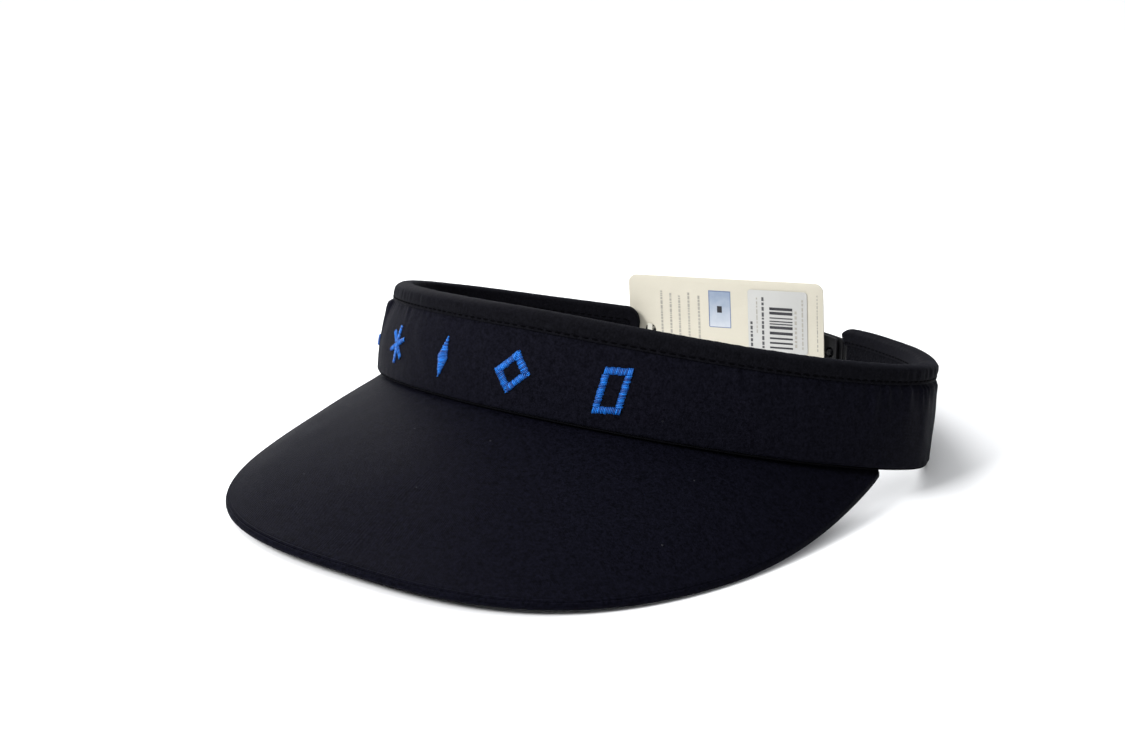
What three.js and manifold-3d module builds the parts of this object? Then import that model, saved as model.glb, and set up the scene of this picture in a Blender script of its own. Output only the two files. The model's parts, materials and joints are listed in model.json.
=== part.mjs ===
// Sun visor lying on its brim and the back of its band: an open fabric head band with a stiffened,
// arched brim, a plastic snap strap across the back, embroidered marks and a card hang tag.
// Millimetres, +Z up. The wearer faces -Y and the wearer's left is +X.
// The band is a strip round the head loop. A place on it is given by s, the length along the loop
// from the middle of the forehead (positive to the wearer's left), a height z, and off, the distance
// out from the band's outer fabric face (negative is towards the head).
import * as THREE from "three";
import { mergeVertices } from "three/addons/utils/BufferGeometryUtils.js";
import Module from "manifold-3d";

const wasm = await Module();
wasm.setup();

// driving dimensions
const GAP = 0.3;
const LOOP = { halfWidth: 101.3, front: 92.3, back: 92, power: 1.72, skew: 3.1, forward: 6.8 };
const SEAM = { z: 5.7, slope: 0.272, dip: 1.1, round: 5 };
const RIM = { z: 37.8, slope: 0.255, dipRight: 0.7, dipLeft: 2.4, roll: 0.9 };
const ARM_RIM = { rise: 2.5, tip: 1.4, fall: 0.6 };
const LEAN = { back: 0.172, taper: 0.095, cinch: 2.4, cinchAt: -100, cinchWide: 36, cinchHigh: 31 };
const ARM = { left: 261, right: -234.5, cornerLeft: 3, cornerRight: 7 };
const FOAM_END = 150;
const LAYER = {
  shell: [-0.8, 0],
  core: [-2.3, -1.1],
  sweat: [-4.6, -2.6],
  bindingIn: [-5.3, -4.9],
  bindingOut: [0.3, 0.7],
  stitch: [1.0, 1.35],
};
const BINDING_LEG = 5.4;
const RIM_INSET = 0.9;
const HEM = 0.7;
const HEM_INSET = 1;
const BRIM = { halfWidth: 96.6, reach: 133.7, rootY: -28.6, power: 2.7, skew: 0.9, seam: 127 };
const BRIM_BELLY = [9.5, 14.2];
const BRIM_TAIL = { length: 4.6, share: 0.2 };
const BRIM_EDGE = { endRise: 10.4, endShare: 0.59, frontRise: 2.3, clear: 0.25, border: 1.5 };
const BRIM_STACK = { cloth: 0.4, board: 0.8, total: 2.2, crown: 2.2, tuck: 3 };
const STRAP = { height: 12, thick: 1.2, z: 10.3, lap: 14, overlapEnd: 303, reach: 264.5 };
const HINGE = { s: 262.3, play: 0.5, web: 0.44, corner: 0.6 };
const PEG = { first: 268.5, count: 5, pitch: 7.5, radius: 1.4, hole: 2.1, rise: 2.1 };
const PATCH = { near: -210, far: -222, half: 8, thick: 0.6, lip: 1.4 };
const CARD = { left: -3, right: 77.8, height: 31.6, thick: 0.6, corner: 3.5, low: 0.9, tilt: 3.6 };
const CARD_HOLE = { along: 5.8, z: 10.4, radius: 2.4 };
const CARD_LINE = { offRight: 1.5, sLeft: 268, offLeft: -5.2 };
const PIN = { radius: 0.5, bar: 8, barRadius: 0.55, paddle: [2, 5, 0.6] };
const STICKER = { left: 47.5, right: 71.5, low: 4.5, high: 29, gap: 0.15, thick: 0.2 };
const MARK = { off: [0.5, 1.0], height: 13.4, slant: 0.2, stroke: 2, small: 3.6 };

const COLOURS = {
  cloth: [0x23242d, 0.85],
  dark: [0x14151b, 0.9],
  thread: [0x2f6fe0, 0.5],
  plastic: [0x101114, 0.4],
  card: [0xebe6d7, 0.7],
  sticker: [0xf4f3ef, 0.5],
  board: [0x3a3b40, 0.6],
};

// ---- the head loop -------------------------------------------------------------------------
const power = (v, e) => Math.sign(v) * Math.abs(v) ** e;

class HeadLoop extends THREE.Curve {
  getPoint(t, target = new THREE.Vector3()) {
    const a = (t - 0.5) * 2 * Math.PI;
    const s = Math.sin(a);
    const c = Math.cos(a);
    const e = 2 / LOOP.power;
    const reach = c > 0 ? LOOP.front : LOOP.back;
    const x = LOOP.halfWidth * power(s, e) + (LOOP.skew * (1 - c)) / 2;
    const y = -reach * power(c, e) - LOOP.forward * s * s;
    return target.set(x, y, 0);
  }
}

const loop = new HeadLoop();
loop.arcLengthDivisions = 1440;
const LENGTH = loop.getLength();
const FRONT = loop.getLengths()[720];

// Where s falls on the loop: the angle from the forehead, the plan point and the outward normal.
function station(s) {
  const u = (((s + FRONT) % LENGTH) + LENGTH) % LENGTH / LENGTH;
  const t = loop.getUtoTmapping(u);
  const tangent = loop.getTangent(t);
  return {
    angle: (t - 0.5) * 2 * Math.PI,
    point: loop.getPoint(t),
    normal: new THREE.Vector3(tangent.y, -tangent.x, 0),
  };
}

const smooth = (x) => x * x * (3 - 2 * x);
const ease = (x) => smooth(Math.min(1, Math.max(0, x)));

function dip(angle) {
  return Math.abs(angle) < (2 * Math.PI) / 3 ? Math.sin(1.5 * angle) ** 2 : 0;
}

// The band's lower edge: it slopes down from the forehead, and the back lies flat on the table.
function lowerEdge(s) {
  const at = station(s);
  const z = SEAM.z - SEAM.slope * at.point.y - SEAM.dip * dip(at.angle);
  if (z > SEAM.round) return z;
  return z < -SEAM.round ? 0 : (z + SEAM.round) ** 2 / (4 * SEAM.round);
}

// The band's upper edge, which stands a little higher on the left arm and lower on the right arm.
function upperEdge(s) {
  const at = station(s);
  const roll = RIM.roll * Math.sin(at.angle);
  const left = ARM_RIM.rise * ease((s - 165) / 60) + ARM_RIM.tip * ease((s - 215) / 40);
  const arms = left - ARM_RIM.fall * ease((-s - 145) / 60);
  const sag = (s < 0 ? RIM.dipRight : RIM.dipLeft) * dip(at.angle);
  return RIM.z - RIM.slope * at.point.y + roll + arms - sag;
}

// The binding cinches the right temple's upper edge towards the head.
function cinch(s, h) {
  const near = Math.exp(-(((s - LEAN.cinchAt) / LEAN.cinchWide) ** 2));
  return LEAN.cinch * near * (Math.max(0, h) / LEAN.cinchHigh) ** 2;
}

function place(s, z, off) {
  const { point, normal } = station(s);
  const h = z - (SEAM.z - SEAM.slope * point.y);
  const out = off - LEAN.taper * h - cinch(s, h);
  return new THREE.Vector3(point.x + normal.x * out, point.y + LEAN.back * h + normal.y * out, z);
}

// ---- making closed meshes ------------------------------------------------------------------
function geometryOf(points, faces) {
  const g = new THREE.BufferGeometry();
  g.setAttribute("position", new THREE.Float32BufferAttribute(points.flatMap((p) => [p.x, p.y, p.z]), 3));
  g.setIndex(faces.flat());
  return outward(g);
}

// Turns the faces round if the closed surface is inside out.
function outward(g) {
  const p = g.attributes.position;
  const i = g.index.array;
  const v = [new THREE.Vector3(), new THREE.Vector3(), new THREE.Vector3()];
  let volume = 0;
  for (let k = 0; k < i.length; k += 3) {
    v.forEach((a, n) => a.fromBufferAttribute(p, i[k + n]));
    volume += v[0].dot(v[1].cross(v[2]));
  }
  if (volume < 0) {
    for (let k = 0; k < i.length; k += 3) {
      [i[k + 1], i[k + 2]] = [i[k + 2], i[k + 1]];
    }
  }
  return g;
}

// A closed section swept through rows of points, with a triangulated cap at each end.
function loft(rows, outline) {
  const n = rows[0].length;
  const faces = [];
  for (let r = 0; r + 1 < rows.length; r++) {
    for (let k = 0; k < n; k++) {
      const a = r * n + k;
      const b = r * n + ((k + 1) % n);
      faces.push([a, b, b + n], [a, b + n, a + n]);
    }
  }
  const last = (rows.length - 1) * n;
  const turn = THREE.ShapeUtils.isClockWise(outline);
  for (const [a, b, c] of THREE.ShapeUtils.triangulateShape(outline, [])) {
    const cap = turn ? [a, b, c] : [a, c, b];
    faces.push(cap, [last + cap[0], last + cap[2], last + cap[1]]);
  }
  return geometryOf(rows.flat(), faces);
}

// Stations along the band between two ends, closer together where an arm's corner is rounded.
function stations(from, to, step, fine = []) {
  const count = Math.max(2, Math.round((to - from) / step));
  const list = Array.from({ length: count + 1 }, (_, k) => from + ((to - from) * k) / count);
  const near = (a) => fine.some((b) => Math.abs(a - b) < 1.2);
  return [...list.filter((a, k) => k === 0 || k === count || !near(a)), ...fine].sort((a, b) => a - b);
}

function sweepBand(list, section) {
  const flat = section(list[0]).map(([off, z]) => new THREE.Vector2(off, z));
  return loft(list.map((s) => section(s).map(([off, z]) => place(s, z, off))), flat);
}

const CORNER_STEPS = [0.05, 0.17, 0.37, 0.63, 1];

// How far an edge is drawn in by a rounded corner of radius r, at a distance d from the arm's end.
function roundedBy(d, r) {
  return d >= r ? 0 : r - Math.sqrt(Math.max(0, r ** 2 - (r - Math.max(0, d)) ** 2));
}

function cornerInset(s) {
  return Math.max(roundedBy(s - ARM.right, ARM.cornerRight), roundedBy(ARM.left - s, ARM.cornerLeft));
}

// A flat layer of the band between two offs, from near the hem to near the rim.
function bandLayer([inner, outer], from, to) {
  const fine = [];
  if (from === ARM.right) fine.push(...CORNER_STEPS.map((d) => ARM.right + d * ARM.cornerRight));
  if (to === ARM.left) fine.push(...CORNER_STEPS.map((d) => ARM.left - d * ARM.cornerLeft));
  return sweepBand(stations(from, to, 7, fine), (s) => {
    const low = lowerEdge(s) + HEM_INSET + cornerInset(s);
    const high = upperEdge(s) - RIM_INSET - cornerInset(s);
    return [[inner, low], [outer, low], [outer, high], [inner, high]];
  });
}

// ---- booleans ------------------------------------------------------------------------------
function solid(geometry) {
  const g = geometry.index ? geometry.toNonIndexed() : geometry.clone();
  g.deleteAttribute("normal");
  g.deleteAttribute("uv");
  const m = mergeVertices(g, 1e-4);
  const vertProperties = new Float32Array(m.attributes.position.array);
  const triVerts = new Uint32Array(m.index.array);
  return new wasm.Manifold(new wasm.Mesh({ numProp: 3, vertProperties, triVerts }));
}

function fromSolid(made) {
  const m = made.getMesh();
  const g = new THREE.BufferGeometry();
  g.setAttribute("position", new THREE.BufferAttribute(new Float32Array(m.vertProperties), 3));
  g.setIndex(new THREE.BufferAttribute(new Uint32Array(m.triVerts), 1));
  return g;
}

// A round bar between two points.
function bar(a, b, radius, sides = 16, tip = radius) {
  const g = new THREE.CylinderGeometry(tip, radius, a.distanceTo(b), sides);
  const turn = new THREE.Quaternion().setFromUnitVectors(
    new THREE.Vector3(0, 1, 0),
    b.clone().sub(a).normalize(),
  );
  g.applyQuaternion(turn);
  g.translate((a.x + b.x) / 2, (a.y + b.y) / 2, (a.z + b.z) / 2);
  return g;
}

// ---- the part ------------------------------------------------------------------------------
const part = new THREE.Group();
part.name = "sun_visor";

function add(name, geometry, colour, group = part) {
  const [hex, roughness] = COLOURS[colour];
  const material = new THREE.MeshStandardMaterial({ color: hex, roughness, metalness: 0 });
  const mesh = new THREE.Mesh(geometry, material);
  mesh.name = name;
  group.add(mesh);
  return mesh;
}

// Band: outer shell, forehead foam, elastic in the side arms, sweatband.
add("band_shell", bandLayer(LAYER.shell, ARM.right, ARM.left), "cloth");
add("band_foam", bandLayer(LAYER.core, -FOAM_END, FOAM_END), "dark");
add("elastic_left", bandLayer(LAYER.core, FOAM_END + 1, ARM.left - STRAP.lap - 1), "dark");
add("elastic_right", bandLayer(LAYER.core, ARM.right + 8, -FOAM_END - 1), "dark");
add("sweatband", bandLayer(LAYER.sweat, ARM.right, ARM.left), "dark");

// Binding: a folded elastic tape that caps the rim, with a line of stitches round its outside.
const rimFrom = ARM.right + ARM.cornerRight;
const rimTo = ARM.left - ARM.cornerLeft;
add("top_binding", sweepBand(stations(rimFrom, rimTo, 7), (s) => {
  const top = upperEdge(s);
  const foot = top - BINDING_LEG;
  const [a, b] = LAYER.bindingIn;
  const [c, d] = LAYER.bindingOut;
  const under = top - RIM_INSET + GAP;
  return [
    [a, foot], [b, foot], [b, under], [c, under], [c, foot],
    [d, foot], [d, top - 0.3], [d - 0.3, top], [a + 0.3, top], [a, top - 0.3],
  ];
}), "dark");
add("binding_stitch", sweepBand(stations(PATCH.near + 2, rimTo - 2, 7), (s) => {
  const z = upperEdge(s) - BINDING_LEG + 0.7;
  const [a, b] = LAYER.stitch;
  return [[a, z], [b, z], [b, z + 0.4], [a, z + 0.4]];
}), "cloth");
add("hem_tape", sweepBand(stations(rimFrom, rimTo, 7), (s) => {
  const z = lowerEdge(s);
  return [[LAYER.sweat[0], z], [LAYER.shell[1], z], [LAYER.shell[1], z + HEM], [LAYER.sweat[0], z + HEM]];
}), "cloth");

// ---- brim ----------------------------------------------------------------------------------
function brimEdge(t) {
  const a = (t * Math.PI) / 2;
  const e = 2 / BRIM.power;
  const k = Math.abs(Math.cos(a)) ** e;
  const rise = BRIM_EDGE.endRise * Math.max(0, 1 - k / BRIM_EDGE.endShare) ** 2;
  const half = BRIM.halfWidth + k * (1 - k) * (BRIM_BELLY[0] - BRIM_BELLY[1] * k);
  return new THREE.Vector3(
    half * power(Math.sin(a), e) + BRIM.skew,
    BRIM.rootY - BRIM.reach * k + BRIM_TAIL.length * Math.max(0, 1 - k / BRIM_TAIL.share) ** 2,
    rise + BRIM_EDGE.frontRise * k ** 6 + BRIM_EDGE.clear,
  );
}

function brimRoot(t) {
  const s = t * BRIM.seam;
  return place(s, lowerEdge(s) - GAP, -BRIM_STACK.tuck);
}

// The brim's upper surface, from the seam (v = 0) to the edge (v = 1).
function brimTop(t, v) {
  const p = brimRoot(t).lerp(brimEdge(t), v);
  const swell = BRIM_STACK.crown * 16 * (v * (1 - v)) ** 2 * (1 - t * t);
  const lift = BRIM_STACK.total * v * v * (1 - t ** 12);
  p.z += swell + lift;
  return p;
}

const brimDepth = (t) => brimRoot(t).distanceTo(brimEdge(t));

// A layer of the brim between two depths below its upper surface, over a span of v.
function brimLayer(depths, span, across, along) {
  const rows = [];
  for (let i = 0; i <= along; i++) {
    const t = -1 + (2 * i) / along;
    const [v0, v1] = span(t);
    const top = [];
    for (let j = 0; j <= across; j++) top.push(brimTop(t, v0 + ((v1 - v0) * j) / across));
    const upper = top.map((p) => p.clone().setZ(p.z - depths[0]));
    const lower = top.map((p) => p.clone().setZ(p.z - depths[1])).reverse();
    rows.push([...upper, ...lower]);
  }
  const wide = Array.from({ length: across + 1 }, (_, j) => new THREE.Vector2(j, 1));
  const back = wide.map((p) => new THREE.Vector2(p.x, 0)).reverse();
  return loft(rows, [...wide, ...back]);
}

const inner = (t) => [0, 1 - BRIM_EDGE.border / brimDepth(t)];
const border = (t) => [1 - (BRIM_EDGE.border - GAP) / brimDepth(t), 1];
const clothEnd = BRIM_STACK.cloth;
const boardTop = clothEnd + GAP;
const boardEnd = boardTop + BRIM_STACK.board;
add("brim_top_cover", brimLayer([0, clothEnd], inner, 6, 44), "cloth");
add("brim_board", brimLayer([boardTop, boardEnd], inner, 6, 44), "board");
add("brim_under_cover", brimLayer([boardEnd + GAP, BRIM_STACK.total], inner, 6, 44), "cloth");
add("brim_edge_roll", brimLayer([0, BRIM_STACK.total], border, 1, 60), "cloth");

// ---- strap across the back -----------------------------------------------------------------
// The long strap with holes leaves the outside of the right arm, clears the card's edge and ends
// inside the short strap with pegs, which leaves the left arm's end and swings outward.
const HOLE_STRAP_PATH = [[-210.5, 1.6], [-223.5, 1.6], [-229, 4.7], [-234, 4.7], [-284, -3.2], [-340, -3.2]];

function strapOff(s) {
  const path = HOLE_STRAP_PATH;
  for (let k = 0; k + 1 < path.length; k++) {
    const [a, p] = path[k];
    const [b, q] = path[k + 1];
    if (s <= a && s >= b) return p + (q - p) * smooth((a - s) / (a - b));
  }
  return path[path.length - 1][1];
}

function strapSolid(from, to, middle, ends = [2, 2]) {
  const low = STRAP.z - STRAP.height / 2;
  const high = STRAP.z + STRAP.height / 2;
  const half = STRAP.thick / 2;
  const inset = (d, r) => (d > r ? 0 : r - Math.sqrt(r * r - (r - d) ** 2));
  const round = (s) => Math.max(inset(s - from, ends[0]), inset(to - s, ends[1]));
  const list = stations(from, to, 4, [from + 0.4, from + 1.1, from + 2, to - 2, to - 1.1, to - 0.4]);
  return solid(sweepBand(list, (s) => {
    const m = middle(s);
    const r = round(s);
    return [[m - half, low + r], [m + half, low + r], [m + half, high - r], [m - half, high - r]];
  }));
}

const pegStations = Array.from({ length: PEG.count }, (_, k) => PEG.first + k * PEG.pitch);
const pegMiddle = (LAYER.core[0] + LAYER.core[1]) / 2;
const overlapOff = HOLE_STRAP_PATH[HOLE_STRAP_PATH.length - 1][1];

let holeStrap = strapSolid(STRAP.reach - LENGTH, -210.8, strapOff);
for (const s of pegStations) {
  const a = place(s, STRAP.z, overlapOff - 2);
  const b = place(s, STRAP.z, overlapOff + 2);
  holeStrap = holeStrap.subtract(solid(bar(a, b, PEG.hole, 16)));
}

let pegStrap = strapSolid(HINGE.s + HINGE.play, STRAP.overlapEnd, () => pegMiddle, [HINGE.corner, 2]);
for (const s of pegStations) {
  const a = place(s, STRAP.z, pegMiddle);
  const b = place(s, STRAP.z, LAYER.core[0] - PEG.rise);
  pegStrap = pegStrap.add(solid(bar(a, b, PEG.radius, 14, PEG.radius * 0.8)));
}
add("peg_strap", fromSolid(pegStrap), "plastic");

// The short strap's fixed end, with the thin web it bends at.
const rootEnd = ARM.left + 0.6;
const rootSolid = strapSolid(ARM.left - STRAP.lap, rootEnd, () => pegMiddle, [2, HINGE.corner]);
const webLow = STRAP.z - STRAP.height / 2 + HINGE.corner;
const webHigh = STRAP.z + STRAP.height / 2 - HINGE.corner;
const webIn = pegMiddle - HINGE.web / 2;
const webOut = pegMiddle + HINGE.web / 2;
const webSolid = solid(sweepBand([rootEnd - 0.4, rootEnd, HINGE.s + HINGE.web / 2], () => [
  [webIn, webLow], [webOut, webLow], [webOut, webHigh], [webIn, webHigh],
]));
add("peg_strap_root", fromSolid(rootSolid.add(webSolid)), "plastic");

add("strap_anchor_patch", sweepBand(stations(PATCH.far, PATCH.near, 4), () => {
  const low = STRAP.z - PATCH.half;
  const high = STRAP.z + PATCH.half;
  const under = 1.6 + STRAP.thick / 2 + GAP;
  const top = under + PATCH.thick;
  return [
    [1.05, low], [top, low], [top, high], [1.05, high],
    [1.05, high - PATCH.lip], [under, high - PATCH.lip], [under, low + PATCH.lip], [1.05, low + PATCH.lip],
  ];
}), "cloth");

// ---- hang tag ------------------------------------------------------------------------------
// The card stands upright along a straight line from the right arm's end towards the left arm's
// end. along runs left to right on the card, and its back faces out to the strap.
const lineFrom = place(ARM.right, STRAP.z, CARD_LINE.offRight);
const lineTo = place(CARD_LINE.sLeft, STRAP.z, CARD_LINE.offLeft);
const along = lineTo.clone().sub(lineFrom).setZ(0).normalize();
const away = new THREE.Vector3(-along.y, along.x, 0);
const card = new THREE.Group();
card.matrixAutoUpdate = false;
card.matrix.makeBasis(along, new THREE.Vector3(0, 0, 1), away.clone().negate());
card.matrix.setPosition(lineFrom.x, lineFrom.y, 0);

// A rectangle on the card, turned with it about its hole, facing the head by +z of the card.
function plate(x0, x1, y0, y1, corner, near, far, hole = 0) {
  const shape = new THREE.Shape();
  const quarter = Math.PI / 2;
  shape.absarc(x1 - corner, y0 + corner, corner, -quarter, 0);
  shape.absarc(x1 - corner, y1 - corner, corner, 0, quarter);
  shape.absarc(x0 + corner, y1 - corner, corner, quarter, 2 * quarter);
  shape.absarc(x0 + corner, y0 + corner, corner, 2 * quarter, 3 * quarter);
  if (hole) {
    const ring = new THREE.Path();
    ring.absarc(CARD_HOLE.along, CARD_HOLE.z, hole, 0, 2 * Math.PI, true);
    shape.holes.push(ring);
  }
  const g = new THREE.ExtrudeGeometry(shape, { depth: far - near, bevelEnabled: false, curveSegments: 5 });
  g.translate(-CARD_HOLE.along, -CARD_HOLE.z, near);
  g.rotateZ(THREE.MathUtils.degToRad(CARD.tilt));
  g.translate(CARD_HOLE.along, CARD_HOLE.z, 0);
  return fromSolid(solid(g));
}

const half = CARD.thick / 2;
const top = CARD.low + CARD.height;
add("tag_card", plate(
  CARD.left, CARD.right, CARD.low, top, CARD.corner, -half, half, CARD_HOLE.radius,
), "card", card);
const labelNear = half + STICKER.gap;
const labelFar = labelNear + STICKER.thick;
add("price_sticker", plate(
  STICKER.left, STICKER.right, STICKER.low, STICKER.high, 1.2, labelNear, labelFar,
), "sticker", card);
part.add(card);

// The tag's pin: a thin bar through the strap and the card, with a crossbar outside the strap and
// a flat paddle on the card's face.
const inCard = (x, y, z) => new THREE.Vector3(x, y, z).applyMatrix4(card.matrix);
const strapAway = 8.1;
const paddleAt = half + GAP + 0.1;
const [padWide, padHigh, padThick] = PIN.paddle;
const shaft = bar(
  inCard(CARD_HOLE.along, CARD_HOLE.z, -strapAway),
  inCard(CARD_HOLE.along, CARD_HOLE.z, paddleAt + padThick / 2),
  PIN.radius,
  10,
);
const cross = bar(
  inCard(CARD_HOLE.along, CARD_HOLE.z - PIN.bar / 2, -strapAway),
  inCard(CARD_HOLE.along, CARD_HOLE.z + PIN.bar / 2, -strapAway),
  PIN.barRadius + 0.1,
  10,
);
const paddle = new THREE.BoxGeometry(padWide, padHigh, padThick);
paddle.translate(CARD_HOLE.along, CARD_HOLE.z, paddleAt + padThick / 2);
paddle.applyMatrix4(card.matrix);
add("tag_pin", fromSolid(solid(shaft).add(solid(cross)).add(solid(paddle))), "plastic");

const pinHole = bar(
  inCard(CARD_HOLE.along, CARD_HOLE.z, -12),
  inCard(CARD_HOLE.along, CARD_HOLE.z, 1),
  PIN.radius + GAP,
  12,
);
add("hole_strap", fromSolid(holeStrap.subtract(solid(pinHole))), "plastic");

// ---- embroidered marks ---------------------------------------------------------------------
// Each mark is an outline of [along, up] points with an optional inner outline, slanted and
// wrapped on the band's outer face.
function outline(points) {
  return points.map(([x, y]) => new THREE.Vector2(x, y));
}

function ring(points, wall) {
  const reach = (p) => Math.hypot(...p);
  return points.map((p) => p.map((c) => (c * (reach(p) - wall)) / reach(p)));
}

function star(arms, outer, waist) {
  return Array.from({ length: 2 * arms }, (_, k) => {
    const r = k % 2 ? waist : outer;
    const a = (k * Math.PI) / arms + Math.PI / 2;
    return [r * Math.cos(a), r * Math.sin(a)];
  });
}

function mark(name, s, height, points, hollow) {
  const shape = new THREE.Shape(outline(points));
  if (hollow) shape.holes.push(new THREE.Path(outline(hollow)));
  const [near, far] = MARK.off;
  const g = new THREE.ExtrudeGeometry(shape, { depth: far - near, bevelEnabled: false });
  const p = g.attributes.position;
  for (let k = 0; k < p.count; k++) {
    const y = p.getY(k);
    const at = place(s + p.getX(k) + MARK.slant * y, height + y, near + p.getZ(k));
    p.setXYZ(k, at.x, at.y, at.z);
  }
  add(name, outwardCopy(g), "thread");
}

function outwardCopy(g) {
  g.deleteAttribute("normal");
  g.deleteAttribute("uv");
  return outward(mergeVertices(g, 1e-4));
}

const tall = MARK.height / 2;
const diamond = (w, h) => [[w, 0], [0, h], [-w, 0], [0, -h]];
const leaning = (w, h) => [[w, -h], [w, h], [-w, h], [-w, -h]];
const midBand = (s, share = 0.41) => lowerEdge(s) + share * (upperEdge(s) - lowerEdge(s));
const thin = MARK.stroke;
mark("mark_star", -57, midBand(-57), star(6, tall, 2));
mark("mark_lozenge", -24, midBand(-24), diamond(2.5, tall));
const hollow = diamond(6.2 - 1.48 * thin, tall - 1.6 * thin).reverse();
mark("mark_diamond", 6, midBand(6), diamond(6.2, tall), hollow);
mark("mark_frame", 38, midBand(38), leaning(4.4, tall), leaning(4.4 - thin, tall - thin).reverse());
mark("mark_small", -90, midBand(-90, 0.36), leaning(1.3, MARK.small / 2));

// ---- origin: the middle of the bounding box, on the table -----------------------------------
part.updateMatrixWorld(true);
const box = new THREE.Box3().setFromObject(part, true);
part.position.set(-(box.min.x + box.max.x) / 2, -(box.min.y + box.max.y) / 2, -box.min.z);

export default part;
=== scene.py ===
"""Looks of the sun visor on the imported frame: cloth, binding, stitching, embroidery, strap and tag.

Lengths in the shape formulas are millimetres in the visor's own plan, and to_frame() turns them
into metres in the frame. s runs along the head loop from the middle of the forehead, z is the
height, and off is the distance out from the band's outer face.
"""

import json
import math

import bpy
import numpy as np
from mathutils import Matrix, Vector


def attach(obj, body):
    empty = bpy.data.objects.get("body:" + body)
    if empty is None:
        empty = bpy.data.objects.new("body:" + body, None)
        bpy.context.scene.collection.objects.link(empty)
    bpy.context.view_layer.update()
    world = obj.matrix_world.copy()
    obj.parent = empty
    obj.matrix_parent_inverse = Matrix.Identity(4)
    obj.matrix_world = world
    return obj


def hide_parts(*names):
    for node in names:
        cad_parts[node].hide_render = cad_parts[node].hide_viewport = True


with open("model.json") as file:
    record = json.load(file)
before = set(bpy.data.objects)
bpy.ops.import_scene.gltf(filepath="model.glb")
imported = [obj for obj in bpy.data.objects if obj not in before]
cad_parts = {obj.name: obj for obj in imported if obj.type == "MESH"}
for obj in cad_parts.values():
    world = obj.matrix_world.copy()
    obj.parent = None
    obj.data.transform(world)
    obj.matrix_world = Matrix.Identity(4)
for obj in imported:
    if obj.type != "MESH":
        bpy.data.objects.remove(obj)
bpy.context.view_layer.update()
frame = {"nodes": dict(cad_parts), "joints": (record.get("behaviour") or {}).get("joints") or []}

# ---- dimensions shared with the CAD part, in millimetres ----------------------------------------
LOOP_HALF, LOOP_FRONT, LOOP_BACK = 101.3, 92.3, 92
LOOP_POWER, LOOP_SKEW, LOOP_FORWARD = 1.72, 3.1, 6.8
SEAM_Z, SEAM_SLOPE, SEAM_DIP, SEAM_ROUND = 5.7, 0.272, 1.1, 5
RIM_Z, RIM_SLOPE, RIM_DIP_RIGHT, RIM_DIP_LEFT, RIM_ROLL = 37.8, 0.255, 0.7, 2.4, 0.9
ARM_RISE, ARM_TIP, ARM_FALL = 2.5, 1.4, 0.6
LEAN_BACK, LEAN_TAPER = 0.172, 0.095
CINCH, CINCH_AT, CINCH_WIDE, CINCH_HIGH = 2.4, -100, 36, 31
ARM_LEFT, ARM_RIGHT = 261, -234.5
ROUND_LEFT, ROUND_RIGHT = 3, 7
LEG = 5.4
BRIM_HALF, BRIM_REACH, BRIM_ROOT_Y = 96.6, 133.7, -28.6
BRIM_POWER, BRIM_SKEW, BRIM_SEAM = 2.7, 0.9, 127
BRIM_BELLY = 9.5, 14.2
TAIL_LENGTH, TAIL_SHARE = 4.6, 0.2
EDGE_END_RISE, EDGE_END_SHARE, EDGE_FRONT_RISE, EDGE_CLEAR = 10.4, 0.59, 2.3, 0.25
BRIM_THICK, BRIM_CROWN, BRIM_TUCK = 2.2, 2.2, 3
STRAP_Z = 10.3
HINGE_S, HINGE_OFF = 262.3, -1.7
HOLE_U, HOLE_W, CARD_TILT = 5.8, 10.4, 3.6

# ---- dimensions of the looks alone, in millimetres ----------------------------------------------
STITCH_DEPTH = 4.55  # the topstitch line, down from the binding's edge
SHELL_ROLL = 1.15  # how round the outer cloth turns under at the hem
LINING_SET_BACK = 4.2  # the lining stops this far before the near arm's end
TAPE_ROUND = 7.0  # the binding's turn round the far arm's end
CARD_FACE = 0.33  # just in front of the card
LABEL_FACE = 0.3 + 0.15 + 0.2 + 0.02  # just in front of the label
MARK_SHARE, SMALL_MARK_SHARE = 0.41, 0.36  # the marks' height on the band, as a share of it

# ---- the head loop ------------------------------------------------------------------------------


def power(v, e):
    return np.sign(v) * np.abs(v) ** e


def hump(x, at, wide):
    """A smooth rise and fall, 1 at its middle."""
    return np.exp(-(((x - at) / wide) ** 2))


def plan(a):
    s, c = np.sin(a), np.cos(a)
    e = 2 / LOOP_POWER
    reach = np.where(c > 0, LOOP_FRONT, LOOP_BACK)
    x = LOOP_HALF * power(s, e) + LOOP_SKEW * (1 - c) / 2
    return x, -reach * power(c, e) - LOOP_FORWARD * s * s


ANGLES = np.linspace(-math.pi, math.pi, 40001)
_px, _py = plan(ANGLES)
ARC = np.concatenate([[0], np.cumsum(np.hypot(np.diff(_px), np.diff(_py)))])
LENGTH, FRONT = ARC[-1], ARC[20000]


def angle_at(s):
    return np.interp((np.asarray(s, float) + FRONT) % LENGTH, ARC, ANGLES)


def dip(a):
    return np.where(np.abs(a) < 2 * math.pi / 3, np.sin(1.5 * a) ** 2, 0)


def lower_edge(s):
    a = angle_at(s)
    z = SEAM_Z - SEAM_SLOPE * plan(a)[1] - SEAM_DIP * dip(a)
    bend = (np.clip(z, -SEAM_ROUND, None) + SEAM_ROUND) ** 2 / (4 * SEAM_ROUND)
    return np.where(z > SEAM_ROUND, z, bend)


def smoothstep(x):
    x = np.clip(x, 0, 1)
    return x * x * (3 - 2 * x)


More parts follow.
